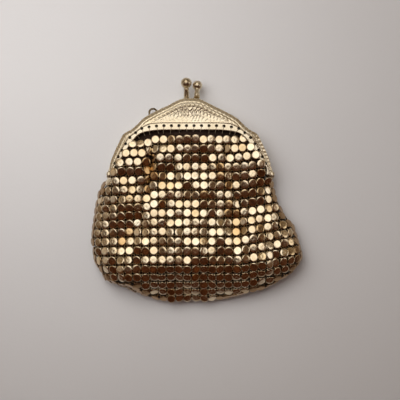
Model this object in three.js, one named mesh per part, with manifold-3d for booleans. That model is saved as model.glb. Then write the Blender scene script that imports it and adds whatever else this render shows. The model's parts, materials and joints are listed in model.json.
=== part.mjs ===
// Metal-mesh coin purse with a two-ball snap clasp, lying on its back.
// Millimetres. +X runs along the frame, +Y points from the pouch to the clasp, and +Z points up.
// Inside the purse group the hinge line lies at y = 0 and the middle of the frame at x = 0.
import * as THREE from 'three';
import { mergeVertices } from 'three/addons/utils/BufferGeometryUtils.js';
import Module from 'manifold-3d';

const wasm = await Module();
wasm.setup();

// Driving dimensions of the frame.
const HALF_DEPTH = 4.6; // face of one half to its rim edge
const SHEET = 0.7; // stamped brass
const GAP = 0.3; // between pieces that touch
const BACK_FACE_Z = 0.6; // the back half's face; its stitches just clear the surface it lies on
const MEETING_Z = BACK_FACE_Z + HALF_DEPTH + GAP / 2; // plane where the halves meet, and the hinge axis
const FRONT_FACE_Z = 2 * MEETING_Z - BACK_FACE_Z;
const HOLE_RADIUS = 0.6;
const HOLE_PITCH = 3.0;
const HOLES_PER_SIDE = 13;
const HOLE_TO_EDGE = 1.75; // hole centre to the edge of the sheet, on the wide part of the frame

// The stamped outline, from the crown to the right hinge. Each outer point faces an inner point.
const OUTER_EDGE = [
  [0, 30.9], [3.6, 30.6], [9.0, 28.0], [14.4, 25.4], [18.8, 22.8], [21.6, 20.0],
  [23.7, 18.2], [26.8, 16.4], [28.9, 12.7], [30.9, 8.2], [32.1, 4.9],
];
const INNER_EDGE = [
  [0, 17.8], [3.4, 17.8], [8.4, 17.8], [13.0, 17.7], [17.0, 17.2], [19.6, 16.5],
  [21.4, 15.3], [22.9, 13.6], [24.5, 11.4], [26.8, 7.9], [28.8, 4.7],
];
const HINGE_INNER_X = 30.4; // inner edge of both halves at the hinge line
const BACK_HINGE_X = 33.4; // outer face of the back half's ear
const FRONT_HINGE_X = BACK_HINGE_X - SHEET - GAP; // the front half's ear lies inside the back half's
const EAR_RADIUS = 2.4;
const RIVET_RADIUS = 0.7;
const RIVET_HEAD = 1.4;

// Driving dimensions of the clasp.
const BALL_RADIUS = { back: 2.2, front: 2.05 };
const BALL_AT = {
  back: new THREE.Vector3(-1.68, 37.5, MEETING_Z + 0.7),
  front: new THREE.Vector3(2.82, 36.7, MEETING_Z - 0.7),
};
const STEM_ROOT = {
  back: new THREE.Vector3(-1.68, 30.75, MEETING_Z - 1.7),
  front: new THREE.Vector3(2.62, 30.68, MEETING_Z + 1.7),
};
const FOOT_HEIGHT = 0.9;
const FOOT_RADIUS = 1.25;
const STEM_RADIUS = { foot: 0.95, tip: 0.7 };

// Driving dimensions of the pouch.
const MESH_THICK = 0.7;
const LINING_THICK = 0.4;
const LINING_DROP = 0.5; // lining below the mesh
const LINING_SHARE = 0.9; // of the pouch's width
const EDGE_CLEAR = 1.6; // panel to the frame's inner edge, which leaves room for the thread
const FRONT_SPLIT = { lower: 6.8, upper: 7.9 }; // where the front panel folds as the frame opens
const MESH_TOP = 15.1;
const LINING_TOP = 16.3;
const THREAD_RADIUS = 0.2;

// Levels down the pouch below the hinge line, with the side of the pouch left and right of the middle.
const SIDES = [
  [-6.2, -37.2, 34.0], [-9.5, -38.3, 35.0], [-15.0, -39.3, 38.0], [-21.0, -40.2, 42.0],
  [-28.0, -41.5, 44.6], [-33.5, -40.2, 45.9], [-38.5, -37.7, 43.6], [-42.0, -36.2, 40.0],
  [-44.5, -31.5, 34.2], [-47.0, -24.6, 29.0], [-49.5, -18.8, 18.6], [-51.0, -14.6, 11.6],
  [-51.9, -9.0, 7.0],
];
// Height of the front panel's crown, the side fold and the back panel's bed at levels down the pouch.
const CROWN = [[20, 9.5], [7, 9.5], [0, 9.9], [-6, 10.8], [-15, 12.6], [-25, 13.6], [-35, 13.0],
  [-42, 10.6], [-47, 7.6], [-51, 4.8], [-52, 3.9]];
const FOLD = [[20, 5.0], [-3, 4.9], [-6, 4.6], [-20, 4.0], [-35, 3.6], [-45, 3.3], [-52, 2.8]];
const BED = [[20, 0.5], [2, 0.5], [-9, 0], [-44, 0], [-47, 0.3], [-50, 1.0], [-52, 1.8]];

const BRASS = { color: 0xe3cfa0, roughness: 0.28, metalness: 1 };
const OLD_BRASS = { color: 0x9c8256, roughness: 0.35, metalness: 1 };
const DISC_GOLD = { color: 0xb9975c, roughness: 0.25, metalness: 1 };
const LINING_CLOTH = { color: 0x2b1712, roughness: 0.9, metalness: 0 };
const THREAD = { color: 0x1e120c, roughness: 0.85, metalness: 0 };

// ---- helpers ----

function lookUp(table, level) {
  for (let i = 1; i < table.length; i += 1) {
    const [highLevel, highValue] = table[i - 1];
    const [lowLevel, lowValue] = table[i];
    if (level >= lowLevel || i === table.length - 1) {
      const share = THREE.MathUtils.clamp((highLevel - level) / (highLevel - lowLevel), 0, 1);
      return THREE.MathUtils.lerp(highValue, lowValue, share);
    }
  }
  return table[0][1];
}

function mesh(name, geometry, material) {
  const made = new THREE.Mesh(geometry, new THREE.MeshStandardMaterial(material));
  made.name = name;
  return made;
}

// A closed body from corner positions and triangles, turned so that its faces point out.
function closedBody(corners, triangles) {
  let volume = 0;
  for (let i = 0; i < triangles.length; i += 3) {
    const [a, b, c] = [corners[triangles[i]], corners[triangles[i + 1]], corners[triangles[i + 2]]];
    volume += a.dot(b.clone().cross(c));
  }
  const geometry = new THREE.BufferGeometry().setFromPoints(corners);
  geometry.setIndex(volume < 0 ? triangles.slice().reverse() : triangles);
  return geometry;
}

// Rings of equal length joined one to the next, with a flat cap at each end.
function loft(rings, capTriangles) {
  const count = rings[0].length;
  const triangles = [];
  for (let r = 0; r < rings.length - 1; r += 1) {
    for (let k = 0; k < count; k += 1) {
      const a = r * count + k;
      const b = r * count + ((k + 1) % count);
      triangles.push(a, b, b + count, a, b + count, a + count);
    }
  }
  const last = (rings.length - 1) * count;
  for (const [a, b, c] of capTriangles) {
    triangles.push(b, a, c, last + a, last + b, last + c);
  }
  return closedBody(rings.flat(), triangles);
}

function solid(geometry) {
  const bare = geometry.clone();
  bare.deleteAttribute('normal');
  bare.deleteAttribute('uv');
  const merged = mergeVertices(bare, 1e-4);
  return new wasm.Manifold(new wasm.Mesh({
    numProp: 3,
    vertProperties: merged.attributes.position.array,
    triVerts: new Uint32Array(merged.index.array),
  }));
}

function geometryOf(manifold) {
  const made = manifold.getMesh();
  const geometry = new THREE.BufferGeometry();
  geometry.setAttribute('position', new THREE.BufferAttribute(made.vertProperties, 3));
  geometry.setIndex(new THREE.BufferAttribute(made.triVerts, 1));
  return geometry;
}

// A cylinder along X, from one x to another, at the hinge axis.
function hingeCylinder(radius, fromX, toX, sides) {
  const made = new THREE.CylinderGeometry(radius, radius, Math.abs(toX - fromX), sides);
  made.rotateZ(Math.PI / 2);
  return made.translate((fromX + toX) / 2, 0, MEETING_Z);
}

// ---- frame ----

// The whole edge from hinge to hinge as a smooth curve, left to right. It runs straight beside the ears.
function edgeCurve(rightHalf, hingeX) {
  const right = [...rightHalf, [hingeX, EAR_RADIUS + GAP], [hingeX, 0]];
  const left = right.slice(1).reverse().map(([x, y]) => [-x, y]);
  return new THREE.CatmullRomCurve3([...left, ...right].map(([x, y]) => new THREE.Vector3(x, y, 0)));
}

// The sheet's section: distance from the inner edge, and depth below the face.
function frameSection(width) {
  const bevel = Math.min(2.2, 0.55 * width);
  return [
    [0, 0.15], [0.3, 0], [width - bevel, 0], [width - 0.3 * bevel, 0.5], [width, 1.7], [width, HALF_DEPTH],
    [width - SHEET, HALF_DEPTH], [width - SHEET, 2.0], [width - 0.7 * bevel, 1.1],
    [width - 1.15 * bevel, SHEET], [0, SHEET],
  ];
}

function frameBand(hingeX, faceZ, inward) {
  const outer = edgeCurve(OUTER_EDGE, hingeX);
  const inner = edgeCurve(INNER_EDGE, HINGE_INNER_X);
  const stations = 2 * (outer.points.length - 1);
  const rings = [];
  let section = [];
  for (let i = 0; i <= stations; i += 1) {
    const from = inner.getPoint(i / stations);
    const across = outer.getPoint(i / stations).sub(from);
    section = frameSection(across.length());
    across.normalize();
    rings.push(section.map(([reach, depth]) => from.clone()
      .addScaledVector(across, reach)
      .setZ(faceZ + inward * depth)));
  }
  const cap = THREE.ShapeUtils.triangulateShape(section.map(([x, y]) => new THREE.Vector2(x, y)), []);
  return loft(rings, cap);
}

// Sewing holes stand a pitch apart along a line that follows the inner edge.
function sewingHoles() {
  const outer = edgeCurve(OUTER_EDGE, FRONT_HINGE_X);
  const inner = edgeCurve(INNER_EDGE, HINGE_INNER_X);
  const samples = 1200;
  const holes = [];
  let travelled = HOLE_PITCH / 2;
  let before = null;
  for (let i = samples / 2; i <= samples && holes.length < HOLES_PER_SIDE; i += 1) {
    const edge = inner.getPoint(i / samples);
    const across = outer.getPoint(i / samples).sub(edge);
    const offset = Math.min(HOLE_TO_EDGE, 0.38 * across.length());
    across.normalize();
    const at = edge.clone().addScaledVector(across, offset);
    travelled += before ? at.distanceTo(before) : 0;
    before = at;
    if (travelled >= HOLE_PITCH) {
      travelled -= HOLE_PITCH;
      holes.push({ at, out: across.clone().negate(), offset });
    }
  }
  const mirrored = holes.map(({ at, out, offset }) => ({
    at: at.clone().setX(-at.x), out: out.clone().setX(-out.x), offset,
  }));
  return [...mirrored.reverse(), ...holes];
}

function frameHalf(name, hingeX, faceZ, inward) {
  let half = solid(frameBand(hingeX, faceZ, inward));
  for (const side of [-1, 1]) {
    half = half.add(solid(hingeCylinder(EAR_RADIUS, side * (hingeX - SHEET), side * hingeX, 28)));
  }
  for (const side of [-1, 1]) {
    const bore = hingeCylinder(RIVET_RADIUS + GAP, side * (hingeX - 3), side * (hingeX + 1), 16);
    half = half.subtract(solid(bore));
  }
  for (const hole of sewingHoles()) {
    const punch = new THREE.CylinderGeometry(HOLE_RADIUS, HOLE_RADIUS, 4 * SHEET, 10);
    punch.rotateX(Math.PI / 2).translate(hole.at.x, hole.at.y, faceZ);
    half = half.subtract(solid(punch));
  }
  return mesh(name, geometryOf(half), BRASS);
}

// A rivet through both ears, with a low domed head outside and a flat one inside.
function hingeRivet(name, side) {
  const inner = FRONT_HINGE_X - SHEET - GAP;
  const outer = BACK_HINGE_X + GAP;
  const profile = [
    [0, inner - 0.5], [RIVET_HEAD, inner - 0.5], [RIVET_HEAD, inner], [RIVET_RADIUS, inner],
    [RIVET_RADIUS, outer], [RIVET_HEAD, outer], [RIVET_HEAD * 0.75, outer + 0.45], [0, outer + 0.6],
  ].map(([x, y]) => new THREE.Vector2(x, y));
  const rivet = mesh(name, new THREE.LatheGeometry(profile, 16), BRASS);
  rivet.rotation.z = -side * Math.PI / 2;
  rivet.position.z = MEETING_Z;
  return rivet;
}

// ---- clasp ----

function turned(name, profile, material, sides = 20) {
  return mesh(name, new THREE.LatheGeometry(profile.map(([x, y]) => new THREE.Vector2(x, y)), sides), material);
}

// A domed button on the rim that the stem stands on.
function claspFoot(half) {
  const foot = turned(`clasp_foot_${half}`, [
    [0, 0], [FOOT_RADIUS, 0], [FOOT_RADIUS, 0.35], [FOOT_RADIUS * 0.7, 0.72], [0, FOOT_HEIGHT],
  ], BRASS, 16);
  foot.position.copy(STEM_ROOT[half]).add(new THREE.Vector3(0, 2 * GAP, 0));
  return foot;
}

function stemLine(half) {
  const from = STEM_ROOT[half].clone().add(new THREE.Vector3(0, 2 * GAP + FOOT_HEIGHT + GAP, 0));
  const along = BALL_AT[half].clone().sub(from);
  return { from, length: along.length(), along: along.normalize() };
}

function aim(piece, from, along) {
  piece.position.copy(from);
  piece.quaternion.setFromUnitVectors(new THREE.Vector3(0, 1, 0), along);
  return piece;
}

// The stem's tip enters a blind hole in the ball.
const SOCKET_DEPTH = 1.3;
const SOCKET_RADIUS = STEM_RADIUS.tip + GAP;

function claspStem(half) {
  const { from, along, length } = stemLine(half);
  const tip = length - BALL_RADIUS[half] + SOCKET_DEPTH - 2 * GAP;
  const stem = turned(`clasp_stem_${half}`, [
    [0, 0], [STEM_RADIUS.foot, 0], [STEM_RADIUS.tip, tip], [0, tip],
  ], BRASS, 16);
  return aim(stem, from, along);
}

function claspBall(half) {
  const { from, along, length } = stemLine(half);
  const radius = BALL_RADIUS[half];
  const mouth = Math.asin(SOCKET_RADIUS / radius);
  const profile = [[0, -radius + SOCKET_DEPTH], [SOCKET_RADIUS, -radius + SOCKET_DEPTH]];
  const steps = 10;
  for (let i = 0; i <= steps; i += 1) {
    const angle = mouth + ((Math.PI - mouth) * i) / steps;
    profile.push([i === steps ? 0 : radius * Math.sin(angle), -radius * Math.cos(angle)]);
  }
  const ball = turned(`clasp_ball_${half}`, profile, half === 'back' ? BRASS : OLD_BRASS);
  return aim(ball, from.clone().addScaledVector(along, length), along);
}

// A wire staple on the back half's rim, for a wrist chain.
function chainLoop() {
  const wire = 0.4;
  const centre = new THREE.Vector3(-15.35, 25.5, 3.4);
  const radius = 1.6;
  const lean = 0.43; // the rim falls away to the left here
  const curve = new THREE.CatmullRomCurve3([...Array(9).keys()].map((i) => {
    const angle = lean + (Math.PI * i) / 8;
    return new THREE.Vector3(Math.cos(angle), Math.sin(angle), 0).multiplyScalar(radius).add(centre);
  }));
  const section = new THREE.Shape();
  section.absarc(0, 0, wire, 0, 2 * Math.PI, false);
  const geometry = new THREE.ExtrudeGeometry(section, { steps: 12, curveSegments: 4, extrudePath: curve });
  return mesh('chain_loop', geometry, OLD_BRASS);
}

// ---- stitching ----

// A whip stitch: down through each sewing hole, under the edge and up to the next one.
function stitchPath(faceZ, inward) {
  const clear = THREAD_RADIUS + 0.15;
  const holes = sewingHoles();
  const points = [];
  const place = (hole, out, depth) => points.push(
    hole.at.clone().addScaledVector(hole.out, out).setZ(faceZ + inward * depth),
  );
  holes.forEach((hole, i) => {
    place(hole, 0, SHEET + clear);
    place(hole, 0, -clear);
    place(hole, hole.offset + clear, -clear);
    if (i < holes.length - 1) {
      place(hole, hole.offset + clear, SHEET + clear);
    }
  });
  return points;
}

// A thread through the points as they are; evenly spaced steps would cut the stitches' corners.
function thread(name, points) {
  const sides = 5;
  const rings = points.map((point, i) => {
    const into = point.clone().sub(points[Math.max(i - 1, 0)]).normalize();
    const outOf = points[Math.min(i + 1, points.length - 1)].clone().sub(point).normalize();
    const along = into.add(outOf).normalize();
    return { point, along };
  });
  const side = new THREE.Vector3(0, 0, 1).cross(rings[0].along);
  side.set(side.length() < 0.1 ? 1 : side.x, side.y, side.z);
  const corners = rings.map(({ point, along }) => {
    side.addScaledVector(along, -side.dot(along)).normalize();
    const up = along.clone().cross(side);
    return [...Array(sides).keys()].map((k) => {
      const angle = (2 * Math.PI * k) / sides;
      return point.clone()
        .addScaledVector(side, THREAD_RADIUS * Math.cos(angle))
        .addScaledVector(up, THREAD_RADIUS * Math.sin(angle));
    });
  });
  return mesh(name, loft(corners, [[0, 1, 2], [0, 2, 3], [0, 3, 4]]), THREAD);
}

// ---- pouch ----

// Half-width of the frame's opening at a level above the hinge line.
function openingHalfWidth(level) {
  const edge = [...INNER_EDGE, [HINGE_INNER_X, 0]].slice(3).map(([x, y]) => [y, x]);
  return lookUp(edge, level) - EDGE_CLEAR;
}

function pouchSides(level, neck) {
  if (level > SIDES[0][0]) {
    const half = Math.min(openingHalfWidth(level), neck);
    return [-half, half];
  }
  return [lookUp(SIDES.map(([y, left]) => [y, left]), level), lookUp(SIDES.map(([y, , right]) => [y, right]), level)];
}

// How far a level has turned from the flat neck in the frame into the round pouch, 0 to 1.
function roundness(level) {
  return THREE.MathUtils.smoothstep(-level, 3, 9);
}

function frontHeight(level, across) {
  const crown = lookUp(CROWN, level);
  const side = lookUp(FOLD, level) + GAP / 2 + MESH_THICK;
  const dome = (1 - Math.abs(across) ** 2.6) ** 0.65;
  return crown - roundness(level) * (crown - side) * (1 - dome);
}

function backHeight(level, across) {
  const bed = lookUp(BED, level);
  const side = lookUp(FOLD, level) - GAP / 2 - MESH_THICK;
  const flat = Math.min(1, 1.35 * (1 - across ** 4));
  return bed + roundness(level) * (side - bed) * (1 - flat);
}

// A panel of even thickness in z. outside is the height of its outer skin, and inward is towards the other.
function panel(name, levels, neck, share, outside, inward, inset, thickness, material) {
  const columns = 14;
  const rings = levels.map((level) => {
    const [left, right] = pouchSides(level, neck);
    const middle = (left + right) / 2;
    const top = [];
    const bottom = [];
    for (let c = 0; c <= columns; c += 1) {
      const across = share * Math.sin((Math.PI / 2) * (-1 + (2 * c) / columns));
      const x = middle + (across * (right - left)) / 2;
      const z = outside(level, across) + inward * inset;
      top.push(new THREE.Vector3(x, level, z));
      bottom.unshift(new THREE.Vector3(x, level, z + inward * thickness));
    }
    return [...top, ...bottom];
  });
  const cap = [];
  for (let c = 0; c < columns; c += 1) {
    const over = 2 * columns + 1 - c;
    cap.push([c, c + 1, over - 1], [c, over - 1, over]);
  }
  return mesh(name, loft(rings, cap), material);
}

const LOW_LEVELS = SIDES.map(([level]) => level);
const NECK = { back: 29.3, front: 28.4 };
const LOWER_FRONT = [FRONT_SPLIT.lower, 3.4, 0, -3, -5.5, ...LOW_LEVELS];
const WHOLE_BACK = [14, 11, 7, 3.4, 0, -2.9, ...LOW_LEVELS];
const LINING_FOOT = -44.5; // the lining stops short of the pouch's bottom fold

function meshPanels() {
  const upper = [MESH_TOP, 11.6, FRONT_SPLIT.upper];
  const whole = [MESH_TOP, ...WHOLE_BACK];
  return {
    back: panel('mesh_back', whole, NECK.back, 1, backHeight, 1, 0, MESH_THICK, DISC_GOLD),
    lower: panel('mesh_front_lower', LOWER_FRONT, NECK.front, 1, frontHeight, -1, 0, MESH_THICK, DISC_GOLD),
    upper: panel('mesh_front_upper', upper, NECK.front, 1, frontHeight, -1, 0, MESH_THICK, DISC_GOLD),
  };
}

function liningPanels() {
  const inset = MESH_THICK + LINING_DROP;
  const above = (level) => level >= LINING_FOOT;
  const upper = [LINING_TOP, 12, FRONT_SPLIT.upper];
  const make = (name, levels, neck, outside, inward) => panel(
    name, levels.filter(above), neck, LINING_SHARE, outside, inward, inset, LINING_THICK, LINING_CLOTH,
  );
  return {
    back: make('lining_back', [LINING_TOP, ...WHOLE_BACK], NECK.back, backHeight, 1),
    lower: make('lining_front_lower', LOWER_FRONT, NECK.front, frontHeight, -1),
    upper: make('lining_front_upper', upper, NECK.front, frontHeight, -1),
  };
}

// ---- assembly ----

const panels = meshPanels();
const linings = liningPanels();

const backHalf = new THREE.Group();
backHalf.add(
  frameHalf('back_frame', BACK_HINGE_X, BACK_FACE_Z, 1),
  thread('stitching_back', stitchPath(BACK_FACE_Z, 1)),
  hingeRivet('hinge_rivet_left', -1),
  hingeRivet('hinge_rivet_right', 1),
  claspFoot('back'),
  claspStem('back'),
  claspBall('back'),
  chainLoop(),
  panels.back,
  panels.lower,
  linings.back,
  linings.lower,
);

const frontHalf = new THREE.Group();
frontHalf.add(
  frameHalf('front_frame', FRONT_HINGE_X, FRONT_FACE_Z, -1),
  thread('stitching_front', stitchPath(FRONT_FACE_Z, -1)),
  claspFoot('front'),
  claspStem('front'),
  claspBall('front'),
  panels.upper,
  linings.upper,
);

const HINGE_LINE_Y = 6.1; // puts the origin under the middle of the whole purse
const FRAME_MIDDLE_X = -2.2;
const purse = new THREE.Group();
purse.add(backHalf, frontHalf);
purse.position.set(FRAME_MIDDLE_X, HINGE_LINE_Y, 0);

const coinPurse = new THREE.Group();
coinPurse.add(purse);

export default coinPurse;
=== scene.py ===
# %% [markdown]
# # A coin purse of metal disc mesh
#
# This is a small evening purse: a stamped brass frame in two hinged halves, a snap clasp of two
# balls, and a pouch of metal discs linked by rings, lined with dark cloth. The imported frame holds
# the pieces that move and their sizes. This lesson builds the surfaces that an eye rests on around
# that frame: the stamping, the discs, the links, the thread and the cloth.

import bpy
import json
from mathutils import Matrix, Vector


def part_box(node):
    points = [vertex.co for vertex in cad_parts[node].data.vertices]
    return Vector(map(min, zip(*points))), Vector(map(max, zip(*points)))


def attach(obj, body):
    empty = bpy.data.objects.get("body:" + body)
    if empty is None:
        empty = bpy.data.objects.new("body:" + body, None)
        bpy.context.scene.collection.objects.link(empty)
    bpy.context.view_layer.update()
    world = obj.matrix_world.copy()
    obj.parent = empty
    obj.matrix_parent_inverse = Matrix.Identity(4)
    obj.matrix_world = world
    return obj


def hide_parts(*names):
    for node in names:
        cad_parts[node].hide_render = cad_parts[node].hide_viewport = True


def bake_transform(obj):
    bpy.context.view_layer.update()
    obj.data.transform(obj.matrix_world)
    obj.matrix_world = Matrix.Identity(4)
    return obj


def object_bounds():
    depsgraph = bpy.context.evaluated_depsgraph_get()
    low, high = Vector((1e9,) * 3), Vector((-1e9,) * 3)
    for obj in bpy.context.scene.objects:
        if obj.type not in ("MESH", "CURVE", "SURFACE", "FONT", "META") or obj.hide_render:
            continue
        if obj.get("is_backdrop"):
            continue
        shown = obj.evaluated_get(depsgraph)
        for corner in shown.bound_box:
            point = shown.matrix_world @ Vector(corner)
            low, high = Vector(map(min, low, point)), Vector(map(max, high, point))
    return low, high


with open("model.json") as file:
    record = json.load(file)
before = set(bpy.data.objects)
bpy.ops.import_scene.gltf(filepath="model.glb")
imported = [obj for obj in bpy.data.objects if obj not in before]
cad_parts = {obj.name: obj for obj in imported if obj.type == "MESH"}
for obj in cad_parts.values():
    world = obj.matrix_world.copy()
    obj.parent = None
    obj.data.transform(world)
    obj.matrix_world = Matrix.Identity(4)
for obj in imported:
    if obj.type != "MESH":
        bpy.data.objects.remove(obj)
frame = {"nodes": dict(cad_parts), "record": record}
cad_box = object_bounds()
print("frame:", sorted(frame["nodes"]))

# %% [markdown]
# The frame's record says where the hinge is, and the two halves are mirror images about the plane
# where they meet. Places could be typed in as world coordinates, but then nothing would follow if
# the frame moved. So every later step counts from the hinge line and from that plane.

# %% Tools, and the places that every later step uses
import json
import math

import bpy
import numpy as np
from mathutils import Vector

MM = 0.001
hinge = Vector(frame["record"]["behaviour"]["joints"][0]["pos_m"])
ORIGIN = np.array([hinge.x, hinge.y, 0.0]) / MM  # the hinge line's middle, on the table
MEETING = hinge.z / MM  # height of the plane where the two halves meet
BACK_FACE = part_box("back_frame")[0].z / MM
FRONT_FACE = MEETING + (MEETING - BACK_FACE)
rng = np.random.default_rng(20)
print("hinge at", tuple(round(c / MM, 2) for c in hinge), "mm")
print(f"faces at {BACK_FACE:.2f} and {FRONT_FACE:.2f} mm")


# %% [markdown]
# Shapes are worked out in millimetres from the hinge line, because a purse maker measures from
# there. One helper turns lists of corners and faces into a Blender mesh in metres, in the frame's
# own place. A second gives a curve through a few chosen points, so that an outline needs only the
# points where it really changes direction.

# %% From millimetres to a Blender mesh
def make_mesh(name, corners, faces, material, smooth=True):
    mesh = bpy.data.meshes.new(name)
    mesh.from_pydata(((np.asarray(corners, float) + ORIGIN) * MM).tolist(), [], faces)
    mesh.validate()
    mesh.shade_smooth() if smooth else mesh.shade_flat()
    mesh.materials.append(material)
    piece = bpy.data.objects.new(name, mesh)
    bpy.context.scene.collection.objects.link(piece)
    return piece


def smooth_curve(points, per_span):
    """Samples a centripetal Catmull-Rom curve, the same number in every span."""
    points = np.asarray(points, float)
    ends = (2 * points[0] - points[1], 2 * points[-1] - points[-2])
    points = np.vstack([ends[0], points, ends[1]])
    samples = []
    for a, b, c, d in zip(points, points[1:], points[2:], points[3:]):
        before, span, after = (math.sqrt(np.linalg.norm(q - p)) for p, q in ((a, b), (b, c), (c, d)))
        leave = span * ((b - a) / before - (c - a) / (before + span) + (c - b) / span)
        arrive = span * ((c - b) / span - (d - b) / (span + after) + (d - c) / after)
        for u in np.arange(per_span) / per_span:
            samples.append(b + leave * u + (3 * (c - b) - 2 * leave - arrive) * u**2
                           + (2 * (b - c) + leave + arrive) * u**3)
    return np.vstack([samples, points[-2]])


print("3 points, 4 samples a span:", len(smooth_curve([(0, 0), (1, 1), (2, 0)], 4)), "samples")

# %% [markdown]
# ## Camera, table and light
#
# A flat purse shows best from straight above, as it lies on a light table. A camera could be placed
# by eye, but its height also follows from the lens, the sensor and the width that is to fill the
# picture, and worked out that way it stays right when the width changes.

# %% Camera
VIEW_WIDTH = 163.6  # millimetres across the picture at the purse's height
LENS = 50.0
SENSOR = 36.0
VIEW_MIDDLE = (1.7, -4.1)  # the spot of the table under the lens, from the world's middle
NEAREST = 0.01  # metres
eye_height = VIEW_WIDTH * LENS / SENSOR + MEETING
camera_data = bpy.data.cameras.new("camera")
camera_data.lens = LENS
camera_data.sensor_width = SENSOR
camera_data.clip_start = NEAREST
camera = bpy.data.objects.new("camera", camera_data)
camera.location = Vector((*VIEW_MIDDLE, eye_height)) * MM
bpy.context.scene.collection.objects.link(camera)
bpy.context.scene.camera = camera
print(f"camera {eye_height:.0f} mm above the table")

# %% [markdown]
# Finishes could be painted as pictures, which need unwrapping and blur up close. Here they are made
# of shader nodes, which stay sharp at any distance. A few helpers do what every finish needs: a
# material with its shader, a noise tied to the piece, a ramp that turns a value into a colour, and
# links to roughness and bump.

# %% Helpers for finishes
def principled(name, **sockets):
    """A new material with its shader and its node tree, ready for more nodes."""
    material = bpy.data.materials.new(name)
    material.use_nodes = True
    shader = material.node_tree.nodes["Principled BSDF"]
    for socket, value in sockets.items():
        shader.inputs[socket.replace("_", " ")].default_value = value
    return material, shader, material.node_tree


def add_node(tree, kind, **settings):
    node = tree.nodes.new("ShaderNode" + kind)
    for key, value in settings.items():
        if key in node.inputs:
            node.inputs[key].default_value = value
        else:
            setattr(node, key, value)
    return node


def colour_ramp(tree, factor, stops):
    ramp = add_node(tree, "ValToRGB")
    while len(ramp.color_ramp.elements) < len(stops):
        ramp.color_ramp.elements.new(0.5)
    for element, (place, colour) in zip(ramp.color_ramp.elements, stops):
        element.position = place
        element.color = (*colour, 1)
    tree.links.new(factor, ramp.inputs["Fac"])
    return ramp.outputs["Color"]


def mottled(tree, scale, detail=4):
    """A noise that is tied to the piece itself, in metres."""
    where = add_node(tree, "TexCoord")
    noise = add_node(tree, "TexNoise", Scale=scale, Detail=detail)
    tree.links.new(where.outputs["Object"], noise.inputs["Vector"])
    return noise.outputs["Fac"]


def roughness_between(tree, shader, factor, low, high):
    spread = add_node(tree, "MapRange")
    spread.inputs["To Min"].default_value = low
    spread.inputs["To Max"].default_value = high
    tree.links.new(factor, spread.inputs["Value"])
    tree.links.new(spread.outputs["Result"], shader.inputs["Roughness"])


def bump_from(tree, shader, height, distance, strength):
    bump = add_node(tree, "Bump", Distance=distance, Strength=strength)
    tree.links.new(height, bump.inputs["Height"])
    tree.links.new(bump.outputs["Normal"], shader.inputs["Normal"])


print("helpers for finishes are ready")

# %% [markdown]
# The table is a matt board. A thick slab would do as well, but only its top is seen, so one square
# that is far wider than the picture is enough. It catches the soft shadow, and the metal mirrors it.

# %% A plain pale floor
def floor_finish():
    material, shader, tree = principled("floor_board", Roughness=0.75, Specular_IOR_Level=0.2)
    greys = [(0.3, (0.665, 0.675, 0.71)), (0.7, (0.685, 0.695, 0.73))]
    tint = colour_ramp(tree, mottled(tree, 9), greys)
    tree.links.new(tint, shader.inputs["Base Color"])
    bump_from(tree, shader, mottled(tree, 900), 0.0001, 0.3)
    return material


FLOOR_HALF = 600  # half of the board's side
floor_corners = [(x * FLOOR_HALF, y * FLOOR_HALF, 0) for x, y in ((-1, -1), (1, -1), (1, 1), (-1, 1))]
floor = make_mesh("floor", floor_corners, [(0, 1, 2, 3)], floor_finish(), smooth=False)
floor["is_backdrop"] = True
print("floor laid at z = 0,", 2 * FLOOR_HALF, "mm wide")

# %% [markdown]
# Polished metal has no look of its own: it shows what is round it. A single lamp would leave it
# black with one spark. So the room is dark and warm on the bottom's side, where some discs mirror
# it and go brown, and a large soft light stands over the clasp's end, which lights up the others.
# Weaker ones left and right round the edges off.

# %% Room and lights
def soft_light(name, place, size, power, colour=(1.0, 0.97, 0.92)):
    data = bpy.data.lights.new(name, "AREA")
    data.shape = "DISK"
    data.size = size * MM
    data.energy = power
    data.color = colour
    lamp = bpy.data.objects.new(name, data)
    lamp.location = Vector(place) * MM
    lamp.rotation_euler = (-lamp.location).to_track_quat("-Z", "Y").to_euler()
    bpy.context.scene.collection.objects.link(lamp)
    return lamp


DARK_WAY = (0.1, -0.86, 0.5)  # toward the darkest part of the room
ROOM_SHADES = [  # from the pale side to the dark one
    (0.05, (0.34, 0.30, 0.25)), (0.35, (0.22, 0.165, 0.11)), (0.56, (0.12, 0.072, 0.038)),
    (0.75, (0.068, 0.024, 0.011)), (1.0, (0.048, 0.016, 0.007)),
]
ROOM_PATCHES = [  # things in the upper part of the room, darker and lighter than its walls
    (0.40, (0.10, 0.10, 0.11)), (0.47, (0.50, 0.40, 0.36)), (0.53, (1.0, 1.0, 0.9)),
    (0.61, (2.7, 2.6, 2.0)),
]


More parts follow.
